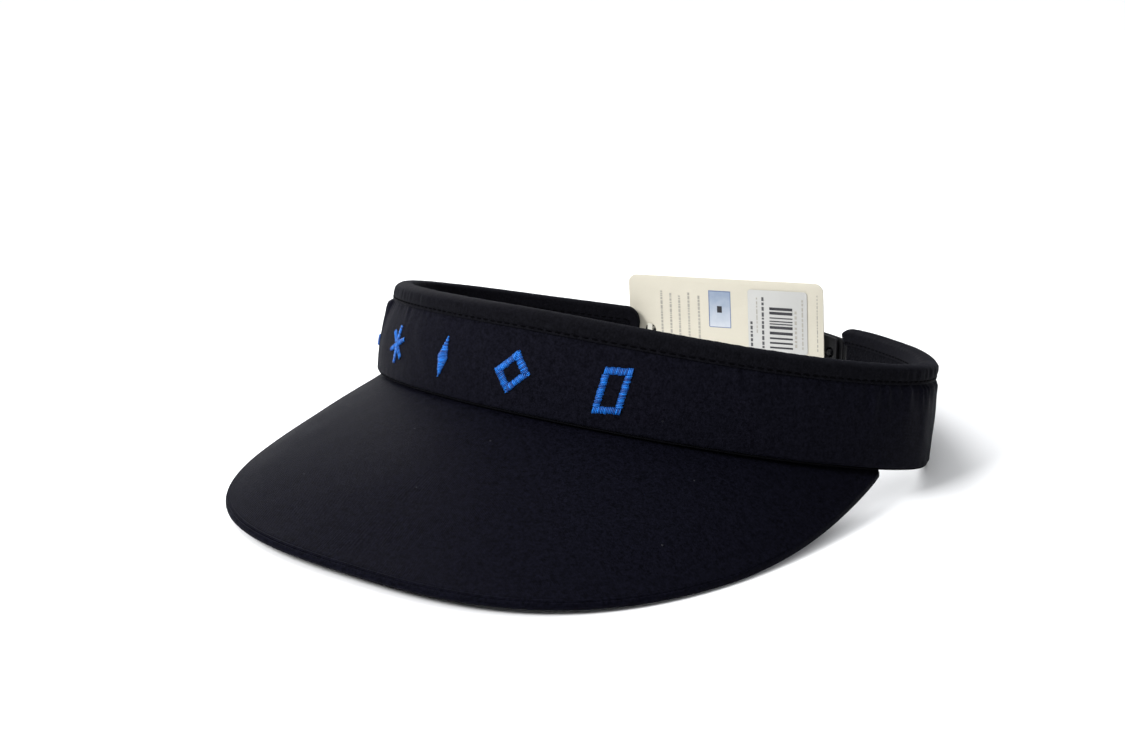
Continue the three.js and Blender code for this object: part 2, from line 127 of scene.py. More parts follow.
def upper_edge(s):
    s = np.asarray(s, float)
    a = angle_at(s)
    arms = ARM_RISE * smoothstep((s - 165) / 60) + ARM_TIP * smoothstep((s - 215) / 40)
    arms -= ARM_FALL * smoothstep((-s - 145) / 60)
    sag = np.where(s < 0, RIM_DIP_RIGHT, RIM_DIP_LEFT) * dip(a)
    return RIM_Z - RIM_SLOPE * plan(a)[1] + RIM_ROLL * np.sin(a) + arms - sag


def place(s, z, off):
    """Points at s, z and off, in millimetres in the visor's own plan."""
    s, z, off = np.broadcast_arrays(*(np.asarray(v, float) for v in (s, z, off)))
    a = angle_at(s)
    x, y = plan(a)
    x0, y0 = plan(a - 1e-3)
    x1, y1 = plan(a + 1e-3)
    run = np.hypot(x1 - x0, y1 - y0)
    nx, ny = (y1 - y0) / run, -(x1 - x0) / run
    h = z - (SEAM_Z - SEAM_SLOPE * y)
    cinch = CINCH * hump(s, CINCH_AT, CINCH_WIDE) * (np.clip(h, 0, None) / CINCH_HIGH) ** 2
    out = off - LEAN_TAPER * h - cinch
    return np.stack([x + nx * out, y + LEAN_BACK * h + ny * out, z], -1)


_swing = next(j for j in frame["joints"] if j["name"] == "snap_strap_swing")
SHIFT = np.array(_swing["pos_m"]) * 1000 - place(HINGE_S, STRAP_Z, HINGE_OFF)


def to_frame(p):
    return (np.asarray(p) + SHIFT) / 1000


# ---- mesh making --------------------------------------------------------------------------------


def linked(name, data):
    """A new object in the scene."""
    obj = bpy.data.objects.new(name, data)
    bpy.context.scene.collection.objects.link(obj)
    return obj


def mesh_object(name, verts, faces, uvs=None):
    """A smooth mesh from points in millimetres. uvs holds one (u, v) in millimetres a corner."""
    mesh = bpy.data.meshes.new(name)
    mesh.from_pydata(to_frame(verts).tolist(), [], faces)
    if uvs is not None:
        layer = mesh.uv_layers.new(name="cloth")
        layer.data.foreach_set("uv", np.asarray(uvs, np.float32).ravel())
    mesh.polygons.foreach_set("use_smooth", [True] * len(mesh.polygons))
    mesh.update()
    return linked(name, mesh)


def loft(name, rows, u, v):
    """A closed section swept through rows[i][j], with both ends capped. u and v are the lengths
    along and round it."""
    ni, nj = rows.shape[:2]
    wrap = np.append(v, v[-1] + np.linalg.norm(rows[0, 0] - rows[0, -1]))
    faces, uvs = [], []
    for i in range(ni - 1):
        for j in range(nj):
            k = (j + 1) % nj
            faces.append((i * nj + j, (i + 1) * nj + j, (i + 1) * nj + k, i * nj + k))
            uvs += [(u[i], wrap[j]), (u[i + 1], wrap[j])]
            uvs += [(u[i + 1], wrap[j + 1]), (u[i], wrap[j + 1])]
    for base, end, order in ((0, 0, range(nj)), ((ni - 1) * nj, -1, range(nj - 1, -1, -1))):
        faces.append(tuple(base + j for j in order))
        uvs += [(u[end], v[j]) for j in order]
    obj = mesh_object(name, rows.reshape(-1, 3), faces, uvs)
    turn_out(obj)
    return obj


def tube_faces(base, rings, sides):
    """The faces of a closed tube whose vertices start at base, ring after ring."""
    faces = []
    for i in range(rings - 1):
        for k in range(sides):
            m = (k + 1) % sides
            faces.append((base + i * sides + k, base + i * sides + m,
                          base + (i + 1) * sides + m, base + (i + 1) * sides + k))
    faces.append(tuple(base + k for k in range(sides - 1, -1, -1)))
    faces.append(tuple(base + (rings - 1) * sides + k for k in range(sides)))
    return faces


def turn_out(obj):
    """Faces point outward: a closed mesh with a negative volume is flipped."""
    mesh = obj.data
    mesh.calc_loop_triangles()
    co = np.array([v.co for v in mesh.vertices])
    tri = np.array([t.vertices for t in mesh.loop_triangles])
    a, b, c = co[tri[:, 0]], co[tri[:, 1]], co[tri[:, 2]]
    if np.einsum("ij,ij->i", a, np.cross(b, c)).sum() < 0:
        mesh.flip_normals()


def along_lengths(points):
    return np.concatenate([[0], np.cumsum(np.linalg.norm(np.diff(points, axis=0), axis=1))])


def wobble(x, seed, scale):
    """A smooth irregular wave, about -1 to 1, with features about scale long."""
    count = 7
    rng = np.random.default_rng(seed)
    x = np.asarray(x, float)
    total = np.zeros_like(x)
    for _ in range(count):
        total += np.sin(x * 2 * math.pi / (scale * rng.uniform(0.6, 2.0)) + rng.uniform(0, 7))
    return total / math.sqrt(count) / 1.2


# ---- the band's padded outer face ---------------------------------------------------------------
# The elastic binding gathers the cloth: short pleats hang from the stitch line, strongest at the
# temples. The cloth is pulled in at the binding and at the hem, and swells between them.
_rng = np.random.default_rng(11)
PLEATS = 140
PLEAT_AT = np.cumsum(_rng.uniform(1.9, 5.6, PLEATS)) + ARM_RIGHT - 4
PLEAT_WIDE = _rng.uniform(0.55, 1.2, PLEATS)
PLEAT_LONG = _rng.uniform(2.4, 8.5, PLEATS)
PLEAT_HIGH = _rng.uniform(0.12, 0.62, PLEATS)
PLEAT_SLANT = _rng.uniform(-0.3, 0.3, PLEATS)


# The places where the binding gathers most: how strongly, at which s and how wide.
GATHERS = (2.5, -92, 26), (2.2, 142, 26), (0.4, 18, 14), (1.1, 90, 20)


def gather(s):
    """How strongly the binding gathers the cloth along the loop."""
    s = np.asarray(s, float)
    total = 0.75
    for strong, at, wide in GATHERS:
        total = total + strong * hump(s, at, wide)
    return total + 0.12 * wobble(s, 3, 60)


def pleats(s, depth):
    """The pleats' height at s, depth millimetres under the stitch line."""
    s, depth = np.broadcast_arrays(np.asarray(s, float), np.asarray(depth, float))
    d = np.clip(depth, 0, None)
    total = np.zeros(s.shape)
    strength = gather(s)
    pleat_rows = zip(PLEAT_AT, PLEAT_WIDE, PLEAT_LONG, PLEAT_HIGH, PLEAT_SLANT)
    for at, wide, length, high, slant in pleat_rows:
        near = np.abs(s - at) < 14
        if not near.any():
            continue
        spread = wide * (1 + d[near] / 7)
        x = (s[near] - at - slant * d[near]) / spread
        fall = np.exp(-d[near] / (length * (0.7 + 0.22 * strength[near])))
        total[near] += high * np.exp(-0.5 * x * x) * fall
    return (total - 0.12 * np.exp(-d / 9)) * strength * smoothstep((depth + 0.3) / 1.5)


def hem_tuck(s):
    """How far the hem is drawn in behind the left temple, without reaching the elastic."""
    return 0.95 * hump(s, 178, 34)


def face_off(s, z):
    """The outer cloth's distance out from the band's nominal face."""
    s, z = np.broadcast_arrays(np.asarray(s, float), np.asarray(z, float))
    low, high = lower_edge(s), upper_edge(s)
    depth = high - LEG - z
    share = np.clip((z - low) / np.maximum(high - LEG - low, 1), 0, 1)
    front = 0.45 + 0.55 * smoothstep((170 - np.abs(s)) / 90)
    swell = 1.05 * front * np.sin(math.pi * share ** 1.12) ** 0.95
    slow = 0.10 * wobble(s, 21, 34) * np.sin(math.pi * share)
    drag = 0.07 * wobble(s + 0.9 * z, 5, 15) * np.sin(math.pi * share)
    hem = 0.10 * wobble(s, 8, 7) * np.exp(-(z - low) / 3.0) * smoothstep((z - low) / 1.2)
    tuck = hem_tuck(s) * hump(z, low, 14)
    full = 0.15 * hump(s, -92, 22) * smoothstep(depth / 8)
    full += 0.9 * hump(s, 140, 24) * smoothstep(depth / 2) * np.exp(-depth / 14)
    return swell + slow + drag + hem + full - tuck + pleats(s, depth)


def band_stations(step, ends=(ARM_RIGHT, ARM_LEFT)):
    a, b = ends
    near = np.array([0, 0.1, 0.3, 0.6, 1.0, 1.5, 2.1, 2.8, 3.6, 4.5, 5.6, 7])
    return np.concatenate([a + near, np.arange(a + 7 + step, b - 7, step), (b - near)[::-1]])


def corner_inset(s):
    """How far an arm's rounded end draws the edge in, and how thin the layer gets at its end."""
    right, left = s - ARM_RIGHT, ARM_LEFT - s
    inset = np.zeros_like(s)
    for d, r in ((right, ROUND_RIGHT), (left, ROUND_LEFT)):
        d = np.clip(d, 0, r)
        inset = np.maximum(inset, r - np.sqrt(np.maximum(0, r * r - (r - d) ** 2)))
    d = np.clip(np.minimum(right, left) / 0.9, 0, 1)
    return inset, np.sqrt(np.maximum(1 - (1 - d) ** 2, 0.01))


def band_shell():
    s = band_stations(0.45)
    inset, thin = corner_inset(s)
    low, high = lower_edge(s) + 0.55 + inset, upper_edge(s) - 1.0 - inset
    roll = SHELL_ROLL
    hem_face = face_off(s, low + roll)
    profile = []
    for phi in np.linspace(math.pi, 2 * math.pi, 9):
        profile.append((roll * (np.cos(phi) - 1) + hem_face, low + roll * (1 + math.sin(phi))))
    shares = np.concatenate([np.linspace(0, 0.55, 17)[1:], np.linspace(0.55, 1, 34)[1:]])
    for t in shares:
        z = low + roll + (high - low - roll) * t
        profile.append((face_off(s, z), z))
    for t in (1, 0.66, 0.33, 0):
        profile.append((-2.3 + 0 * s, low + roll + (high - low - roll) * t + 0.01))
    middle = -1.15
    rows = np.stack([place(s, z, middle + (off - middle) * thin) for off, z in profile], 1)
    return loft("shell_cloth", rows, s, along_lengths(rows[len(s) // 2]))


def sweatband():
    s = band_stations(1.3, (ARM_RIGHT, ARM_LEFT - LINING_SET_BACK))
    inset, thin = corner_inset(np.where(s > 0, s + LINING_SET_BACK, s))
    low, high = lower_edge(s) + 0.75 + inset, upper_edge(s) - 1.0 - inset
    profile = []
    for t in np.linspace(0, 1, 26):
        arch = math.sin(math.pi * t)
        bulge = 0.75 * arch ** 0.5 + 0.09 * wobble(s + 5 * t, 31, 9) * arch
        profile.append((-4.35 - bulge, low + (high - low) * t))
    for t in (1, 0.5, 0):
        profile.append((-2.65 + 0 * s, low + (high - low) * t + 0.01))
    middle = -3.5
    rows = np.stack([place(s, z, middle + (off - middle) * thin) for off, z in profile], 1)
    return loft("towelling", rows, s, along_lengths(rows[len(s) // 2]))


def hem_tape():
    s = band_stations(1.5, (ARM_RIGHT + ROUND_RIGHT, ARM_LEFT - ROUND_LEFT))
    low = lower_edge(s)
    points = [(-0.5, 0.12), (-0.35, 0.3), (-0.5, 0.5), (-4.5, 0.68), (-4.85, 0.4), (-4.6, 0.05),
              (-2.6, 0.0)]
    rows = np.stack(
        [place(s, low + z, off - hem_tuck(s) * (off + 4.85) / 4.5) for off, z in points], 1
    )
    return loft("hem_tape_cloth", rows, s, along_lengths(rows[len(s) // 2]))


# ---- binding ------------------------------------------------------------------------------------


def rim_path():
    """The binding's outer edge in (s, z), with its outward normal: round the right arm's end, along
    the rim, and straight off the left arm."""
    r = TAPE_ROUND
    bottom = float(lower_edge(ARM_RIGHT + r)) + 0.5
    top = float(upper_edge(ARM_RIGHT + r))
    pts = [(ARM_RIGHT + r + d, bottom) for d in (2.0, 1.0)]
    for centre, sweep in ((bottom + r, (-90, -180)), (top - r, (180, 90))):
        for a in map(math.radians, np.linspace(*sweep, 15)):
            pts.append((ARM_RIGHT + r + r * math.cos(a), centre + r * math.sin(a)))
    run = np.arange(ARM_RIGHT + r + 0.7, ARM_LEFT - 0.1, 0.7)
    rim = upper_edge(run)
    rim -= 0.9 * smoothstep((run - (ARM_LEFT - 3.5)) / 3.5) ** 2
    pts += list(zip(run, rim))
    pts = np.array(pts)
    step = np.gradient(pts, axis=0)
    step /= np.linalg.norm(step, axis=1)[:, None]
    return pts, np.stack([-step[:, 1], step[:, 0]], 1)


def binding():
    pts, normal = rim_path()
    length = along_lengths(pts)
    s = pts[:, 0]
    ripple = 0.05 * wobble(length, 41, 3.4) * (0.5 + gather(s)) + 0.08 * wobble(length, 42, 13)
    ripple += 0.3 * wobble(length, 43, 7) * hump(s, 152, 20)
    outer = []
    for depth in np.linspace(LEG, 1.6, 15):
        groove = 0.42 * math.exp(-(((depth - STITCH_DEPTH) / 0.5) ** 2))
        lip = 0.35 * smoothstep((LEG - depth) / 0.5)
        outer.append((0.5 + lip - groove + ripple * smoothstep((LEG - depth) / 3), depth + 0 * s))
    crown = []
    middle, half = -2.2, 3.05
    for a in np.linspace(0, math.pi, 15)[1:-1]:
        depth = 1.6 - 1.75 * math.sin(a) ** 0.8 + 0.3 * ripple
        crown.append((middle + half * math.cos(a) + 0.5 * ripple, depth))
    inner = []
    for depth in np.linspace(1.6, LEG, 11):
        groove = 0.3 * math.exp(-(((depth - STITCH_DEPTH) / 0.5) ** 2))
        inner.append((-5.25 + groove - 0.12 * ripple, depth + 0 * s))
    lining = [(-4.9, LEG), (-4.9, 2.2), (0.25, 2.2), (0.25, LEG)]
    section = outer + crown + inner + [(o + 0 * s, d + 0 * s) for o, d in lining]
    rows = np.stack(
        [place(s - normal[:, 0] * d, pts[:, 1] - normal[:, 1] * d, off) for off, d in section], 1
    )
    return loft("binding_tape", rows, length, along_lengths(rows[len(s) // 2]))


def stitches(name, centres, tangents, normals):
    """Separate stitches as small rounded bars lying on a surface."""
    length, wide, high, turns = 2.1, 0.26, 0.2, 8
    rings = [(-1, 0.0), (-0.86, 0.6), (-0.45, 0.95), (0.45, 0.95), (0.86, 0.6), (1, 0.0)]
    verts, faces = [], []
    for c, t, n in zip(centres, tangents, normals):
        t = t / np.linalg.norm(t)
        n = n - t * n.dot(t)
        n /= np.linalg.norm(n)
        side = np.cross(n, t)
        base = len(verts)
        for x, r in rings:
            droop = -0.22 * high * (x ** 4)
            for k in range(turns):
                a = 2 * math.pi * k / turns
                radius = max(r, 0.12)
                verts.append(
                    c + t * (x * length / 2) + side * (wide * radius * math.cos(a))
                    + n * (high * radius * math.sin(a) + droop * 4)
                )
        faces += tube_faces(base, len(rings), turns)
    obj = mesh_object(name, np.array(verts), faces)
    turn_out(obj)
    return obj


def binding_stitches(name, off):
    """The topstitches on the binding's outer or inner face, off out from the band's face."""
    pts, normal = rim_path()
    length = along_lengths(pts)
    line = pts - normal * STITCH_DEPTH
    at = np.arange(1.5, length[-1] - 1.2, 3.0)

    def on_line(distance, lift=0.0):
        s, z = (np.interp(distance, length, line[:, k]) for k in (0, 1))
        return place(s, z, off + lift)

    here = on_line(at)
    ahead = on_line(at + 0.4)
    lifted = on_line(at, math.copysign(0.04, off))
    return stitches(name, here, ahead - here, lifted - here)


# ---- brim ---------------------------------------------------------------------------------------


def brim_edge(t):
    a = t * math.pi / 2
    e = 2 / BRIM_POWER
    k = np.abs(np.cos(a)) ** e
    z = EDGE_END_RISE * np.maximum(0, 1 - k / EDGE_END_SHARE) ** 2
    z = z + EDGE_FRONT_RISE * k ** 6 + EDGE_CLEAR
    half = BRIM_HALF + k * (1 - k) * (BRIM_BELLY[0] - BRIM_BELLY[1] * k)
    y = BRIM_ROOT_Y - BRIM_REACH * k + TAIL_LENGTH * np.maximum(0, 1 - k / TAIL_SHARE) ** 2
    return np.stack([half * power(np.sin(a), e) + BRIM_SKEW, y, z], -1)


def brim_root(t):
    s = t * BRIM_SEAM
    return place(s, lower_edge(s) - 0.3, -BRIM_TUCK)


def brim_top(t, v):
    """The brim's upper surface from the seam, v = 0, to the edge, v = 1."""
    t, v = np.broadcast_arrays(np.asarray(t, float), np.asarray(v, float))
    p = brim_root(t) * (1 - v)[..., None] + brim_edge(t) * v[..., None]
    swell = BRIM_CROWN * 16 * (v * (1 - v)) ** 2 * (1 - t * t)
    p[..., 2] += swell + BRIM_THICK * v * v * (1 - t ** 12)
    return p


def brim_depth(t):
    return np.linalg.norm(brim_root(t) - brim_edge(t), axis=-1)


def brim_columns(count):
    """Stations across the brim, closer together at the two ends."""
    return np.sin(np.linspace(-1, 1, count) * math.pi / 2) * 0.35 + np.linspace(-1, 1, count) * 0.65


def brim_layer(name, above, below, border, crease):
    """One cloth of the brim, stopping border millimetres before the edge."""
    t = brim_columns(260)
    end = 1 - border / brim_depth(t)
    share = np.concatenate(
        [np.linspace(0, 0.12, 10)[:-1], np.linspace(0.12, 0.94, 40), np.linspace(0.94, 1, 8)[1:]]
    )
    upper, lower = [], []
    for q in share:
        p = brim_top(t, end * q)
        ripple = 0.05 * wobble(t * 150, 51, 24) * math.sin(math.pi * q)
        seam = crease * wobble(t * 140, 52, 5) * np.exp(-np.abs(brim_depth(t) * q - 4) / 3)
        top, low = p.copy(), p.copy()
        dip_in = 0.16 * smoothstep((q - 0.985) / 0.012)
        top[:, 2] += ripple + seam - above - dip_in * (above == 0)
        low[:, 2] -= below
        upper.append(top)
        lower.append(low)
    rows = np.stack(upper + lower[::-1], 1)
    return loft(name, rows, t * BRIM_SEAM, along_lengths(rows[len(t) // 2]))


def edge_bead():
    """The turned edge: the cloth rolls over the board's rim, with a fine seam low on its side."""
    t = brim_columns(420)
    depth = brim_depth(t)
    edge = brim_top(t, 1)
    inner = 1 - 2.6 / depth
    out = edge - brim_top(t, 1 - 3 / depth)
    out[:, 2] = 0
    out /= np.linalg.norm(out, axis=1)[:, None]
    radius = BRIM_THICK / 2
    pucker = 0.05 * wobble(t * 300, 55, 6)
    lead_in = (inner, 0.3), (1 - 1.7 / depth, 0.03), (1 - 1.4 / depth, 0)
    rows = [brim_top(t, v) - [0, 0, sunk] for v, sunk in lead_in]
    for a in np.linspace(math.pi / 2, -math.pi / 2, 25):
        seam = 0.1 * math.exp(-(((a + 0.75) / 0.13) ** 2))
        reach = radius * math.cos(a) ** 0.8 - seam if math.cos(a) > 1e-6 else 0.0
        p = edge - out * (radius - reach - pucker[:, None] * math.cos(a))
        p[:, 2] += radius * (math.sin(a) - 1)
        rows.append(p)
    low = brim_top(t, inner)
    low[:, 2] -= BRIM_THICK
    rows.append(low)
    rows = np.stack(rows, 1)
    return loft("edge_bead", rows, t * BRIM_SEAM, along_lengths(rows[len(t) // 2]))


# ---- copies of CAD solids with softened edges ---------------------------------------------------


def softened(node, name, width):
    """The CAD solid's own shape with small rounded edges, standing for the node."""
    source = frame["nodes"][node]
    obj = linked(name, source.data.copy())
    weld = obj.modifiers.new("weld", "WELD")
    weld.merge_threshold = 2e-6
    bevel = obj.modifiers.new("bevel", "BEVEL")
    bevel.width = width / 1000
    bevel.segments = 2
    bevel.limit_method = "ANGLE"
    bevel.angle_limit = math.radians(32)
    bake(obj)
    obj.data.polygons.foreach_set("use_smooth", [True] * len(obj.data.polygons))
    obj.data.set_sharp_from_angle(angle=math.radians(48))
    obj.data.materials.clear()
    return obj


def bake(obj):
    """Applies the modifiers and leaves the plain result."""
    graph = bpy.context.evaluated_depsgraph_get()
    mesh = bpy.data.meshes.new_from_object(obj.evaluated_get(graph))
    obj.modifiers.clear()
    obj.data = mesh


# ---- embroidery ---------------------------------------------------------------------------------


def threads(name, s0, z0, patches):
    """Satin stitch: each patch is a polygon [along, up] filled with raised threads at an angle."""
    slant, pitch, rings, sides = 0.2, 0.5, 8, 5
    verts, faces, thread_tone_and_shade = [], [], []
    rng = np.random.default_rng(int(abs(s0)) + 7)
    for polygon, angle in patches:
        poly = np.array(polygon, float)
        a = math.radians(angle)
        d, n = np.array([math.cos(a), math.sin(a)]), np.array([-math.sin(a), math.cos(a)])
        level = poly @ n
        for y in np.arange(level.min() + pitch / 2, level.max(), pitch):
            hits = []
            for k in range(len(poly)):
                p, q = poly[k], poly[(k + 1) % len(poly)]
                yp, yq = p @ n, q @ n
                if (yp - y) * (yq - y) < 0:
                    w = (y - yp) / (yq - yp)
                    hits.append(float((p + (q - p) * w) @ d))
            hits.sort()
            for x0, x1 in zip(hits[::2], hits[1::2]):
                x0, x1 = x0 - rng.uniform(0.05, 0.3), x1 + rng.uniform(0.05, 0.3)
                if x1 - x0 < 0.5:
                    continue
                base = len(verts)
                tall = 0.34 + min(0.4, 0.1 * (x1 - x0)) + rng.uniform(-0.03, 0.03)
                lean = rng.uniform(-0.12, 0.12)
                tone = rng.uniform(0.0, 0.85)
                for q in np.linspace(0, 1, rings):
                    rise = tall * math.sin(math.pi * min(max(q, 0.02), 0.98)) ** 0.45
                    mid = d * (x0 + (x1 - x0) * q) + n * (y + lean * (q - 0.5))
                    for k in range(sides):
                        b = 2 * math.pi * k / sides + math.pi / 2
                        local = mid + n * (0.25 * math.cos(b))
                        up = rise - 0.22 + 0.22 * math.sin(b)
                        verts.append((local[0], local[1], up))
                        # Each thread's shade is its own random tone times painted shade: it darkens
                        # towards the thread's sunken ends and is lightest, as a painted highlight,
                        # along its raised middle.
                        thread_tone_and_shade.append(tone * math.sin(math.pi * min(max(q, 0.1), 0.9)) ** 0.7)
                faces += tube_faces(base, rings, sides)
    v = np.array(verts)
    s = s0 + v[:, 0] + slant * v[:, 1]
    z = z0 + v[:, 1]
    points = place(s, z, face_off(s, z) + 0.05 + v[:, 2])
    obj = mesh_object(name, points, faces)
    obj.data.attributes.new("tone", "FLOAT", "POINT").data.foreach_set("value", thread_tone_and_shade)
    turn_out(obj)
    return obj


def mid_band(s, share):
    """The height on the band at s, share of the way up it."""
    low, high = float(lower_edge(s)), float(upper_edge(s))
    return low + share * (high - low)


def bar_patch(p, q, wide):
    """A straight stroke from p to q with satin threads across it."""
    p, q = np.array(p, float), np.array(q, float)
    d = (q - p) / np.linalg.norm(q - p)
    n = np.array([-d[1], d[0]]) * wide / 2
    angle = math.degrees(math.atan2(n[1], n[0]))
    return [tuple(p + n), tuple(q + n), tuple(q - n), tuple(p - n)], angle


def ring_patches(points, wide):
    """Strokes just inside a closed outline."""
    pts = [np.array(p, float) for p in points]
    inner = [p * (np.linalg.norm(p) - wide) / np.linalg.norm(p) for p in pts]
    patches = []
    for k in range(len(pts)):
        m = (k + 1) % len(pts)
        d = pts[m] - pts[k]
        angle = math.degrees(math.atan2(d[0], -d[1]))
        patches.append(([tuple(pts[k]), tuple(pts[m]), tuple(inner[m]), tuple(inner[k])], angle))
    return patches


def embroidery():
    star = []
    for k in range(6):
        a = math.radians(60 * k + 90)
        tip = np.array([math.cos(a), math.sin(a)])
        side = np.array([-tip[1], tip[0]])
        corners = [side * 0.95, tip * 6.4 + side * 0.6, tip * 6.4 - side * 0.6, -side * 0.95]
        star.append(([tuple(c) for c in corners], math.degrees(math.atan2(side[1], side[0]))))
    lozenge = [([(2.3, 0), (0, 6.5), (-2.3, 0), (0, -6.5)], 8)]
    diamond = ring_patches([(6.1, 0), (0, 6.5), (-6.1, 0), (0, -6.5)], 2.7)
    strokes = [
        ((-4.3, 5.7), (4.3, 5.7)), ((-4.3, -5.7), (4.3, -5.7)),
        ((-3.4, -4.7), (-3.4, 4.7)), ((3.4, -4.7), (3.4, 4.7)),
    ]
    square = [bar_patch(p, q, 1.8) for p, q in strokes]
    small = [([(1.2, -1.7), (1.2, 1.7), (-1.2, 1.7), (-1.2, -1.7)], 0)]
    pieces = [
        ("satin_star", "mark_star", -57, MARK_SHARE, star),
        ("satin_lozenge", "mark_lozenge", -24, MARK_SHARE, lozenge),
        ("satin_diamond", "mark_diamond", 6, MARK_SHARE, diamond),
        ("satin_frame", "mark_frame", 38, MARK_SHARE, square),
        ("satin_small", "mark_small", -90, SMALL_MARK_SHARE, small),
    ]
    made = []
    for name, node, s, share, patches in pieces:
        obj = threads(name, s, mid_band(s, share), patches)
        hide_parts(node)
        made.append(obj)
    return made


# ---- the card's printing ------------------------------------------------------------------------
CARD_FROM = place(ARM_RIGHT, STRAP_Z, 1.5)
_line = place(268, STRAP_Z, -5.2) - CARD_FROM
ALONG = np.array([_line[0], _line[1], 0]) / math.hypot(_line[0], _line[1])
TOWARD = np.array([ALONG[1], -ALONG[0], 0])


def on_card(u, w, n):
    """A point on the hang tag: u along it, w up it and n out of its face, turned with the card."""
    a = math.radians(CARD_TILT)
    x, y = u - HOLE_U, w - HOLE_W
    x, y = x * math.cos(a) - y * math.sin(a), x * math.sin(a) + y * math.cos(a)
    return CARD_FROM * [1, 1, 0] + ALONG * (HOLE_U + x) + np.array([0, 0, HOLE_W + y]) + TOWARD * n


def printed(name, blocks, near):
    """Flat printed blocks [u0, u1, w0, w1] on the card."""
    verts, faces = [], []
    for u0, u1, w0, w1 in blocks:
        b = len(verts)
        for n in (near, near + 0.03):
            verts += [on_card(u, w, n) for u, w in ((u0, w0), (u1, w0), (u1, w1), (u0, w1))]
        faces += [(b, b + 3, b + 2, b + 1), (b + 4, b + 5, b + 6, b + 7)]
        faces += [(b + k, b + (k + 1) % 4, b + 4 + (k + 1) % 4, b + 4 + k) for k in range(4)]
    obj = mesh_object(name, np.array(verts), faces)
    obj.data.polygons.foreach_set("use_smooth", [False] * len(obj.data.polygons))
    turn_out(obj)
    return obj


def dashes(u, wide, w0, w1, seed, short, long, gap=0.5):
    """A column of rules of uneven length, standing for a line of small print."""
    rng = np.random.default_rng(seed)
    blocks, w = [], w0
    while w < w1 - short:
        length = min(rng.uniform(short, long), w1 - w)
        blocks.append((u - wide / 2, u + wide / 2, w, w + length))
        w += length + gap * rng.uniform(0.8, 1.5)
    return blocks


def card_printing():
    face, label = CARD_FACE, LABEL_FACE
    text = []
    for k, u in enumerate((11.0, 14.9, 18.6, 22.6, 26.9)):
        text += dashes(u, 0.85, 4 + 1.5 * (k % 2), 26.5 - 0.8 * (k % 3), 60 + k, 0.4, 1.5, 0.3)
    text += dashes(75.4, 0.4, 6, 28, 70, 0.5, 2.0)
    fine = dashes(69.6, 0.6, 6.5, 26, 71, 0.6, 2.0) + dashes(66.9, 0.9, 7, 22, 72, 0.7, 1.5, 0.7)
    fine += dashes(51.2, 0.5, 12, 26, 73, 0.6, 2.2)
    bold = dashes(48.9, 0.9, 6.5, 17.5, 74, 0.7, 1.5, 0.45)
    bold += dashes(53.6, 0.9, 6, 27, 75, 0.7, 1.7, 0.45)
    rng = np.random.default_rng(76)
    bars, w = [], 6.2
    while w < 22.6:
        h = rng.choice([0.45, 0.7, 1.1])
        bars.append((56.3, 65.6, w, min(w + h, 22.8)))
        w += h + rng.choice([0.6, 0.85, 1.15])
    frame_lines = [
        (31.4, 40.2, 27.3, 27.7), (31.1, 31.5, 13.2, 27.7),
        (40.0, 40.3, 13.2, 27.7), (31.4, 40.2, 13.0, 13.3),
    ]
    return [
        (printed("print_text", text, face), "ink_grey"),
        (printed("print_fine", fine, label), "ink_grey"),
        (printed("print_bold", bold, label), "ink_dark"),
        (printed("print_bars", bars, label), "ink_black"),
        (printed("print_picture", [(31.5, 40.0, 13.3, 27.3)], face), "ink_picture"),
        (printed("print_border", frame_lines, face + 0.02), "ink_blue"),
        (printed("print_spot", [(34.6, 36.6, 19.0, 21.6)], face + 0.04), "ink_black"),
    ]


# ---- materials ----------------------------------------------------------------------------------
# Noise scales are per metre, and bump distances are in metres.
SHEEN_TINT = (0.55, 0.58, 0.75, 1)
LINT_COLOUR = (0.022, 0.022, 0.026, 1)


